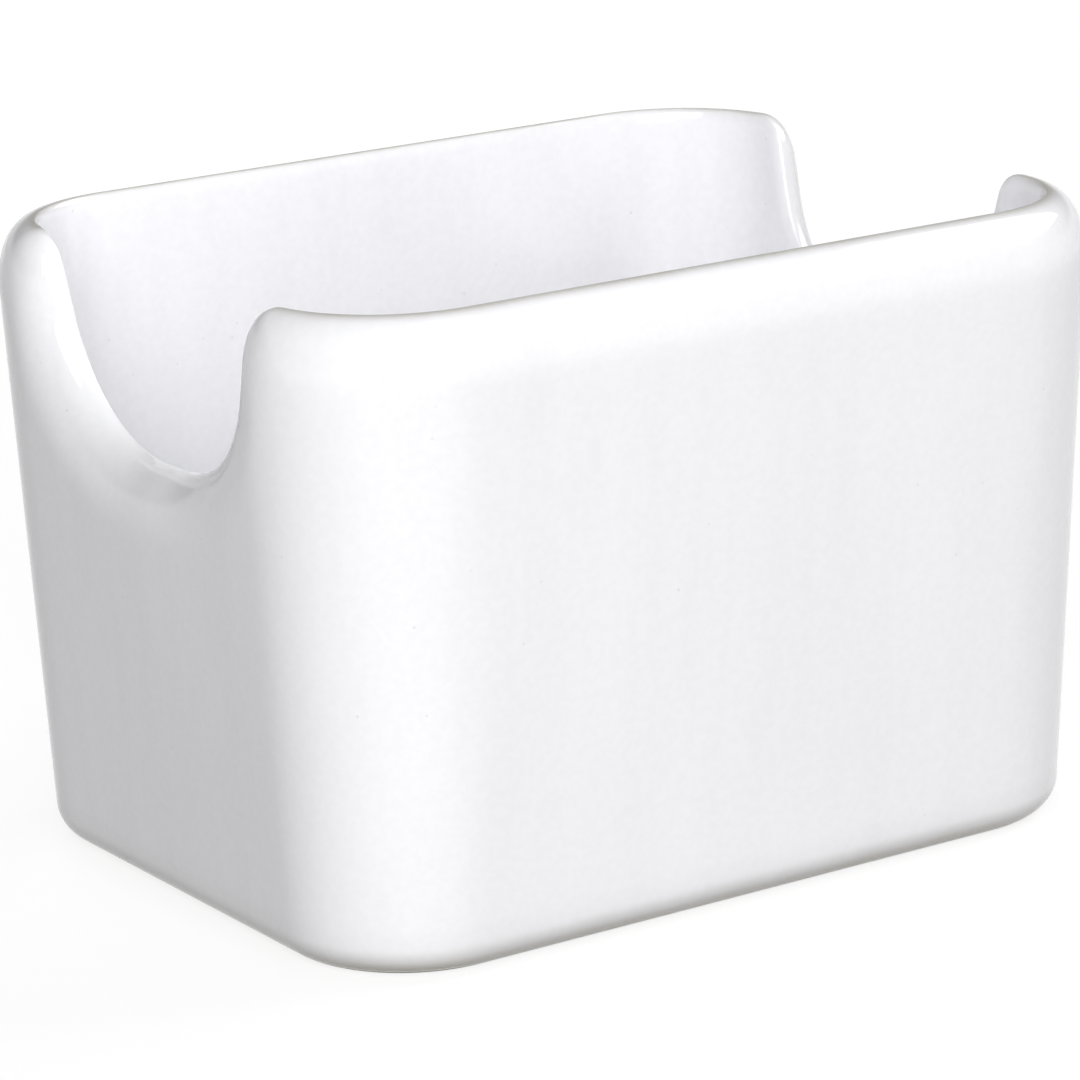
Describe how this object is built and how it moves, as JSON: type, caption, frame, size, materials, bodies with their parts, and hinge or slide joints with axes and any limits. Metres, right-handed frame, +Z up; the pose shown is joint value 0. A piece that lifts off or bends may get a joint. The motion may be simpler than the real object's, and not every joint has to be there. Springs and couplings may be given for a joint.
{
  "type": "sugar packet holder",
  "caption": "Open rectangular box of white glazed ceramic with rounded corners and a U-shaped cut-out in each short end, for standing sugar packets on a table.",
  "frame": {"origin": "middle of the foot, on the surface that the box stands on", "axes": "+X along the long sides, towards one cut-out; +Y across the box; +Z up"},
  "size_m": [0.1044, 0.0824, 0.0699],
  "materials": {
    "fired_clay": "matte",
    "white_glaze": "gloss"
  },
  "bodies": {
    "root": {"china_body": "fired_clay", "glaze_coat": "white_glaze", "base_glaze": "white_glaze"}
  },
  "joints": []
}
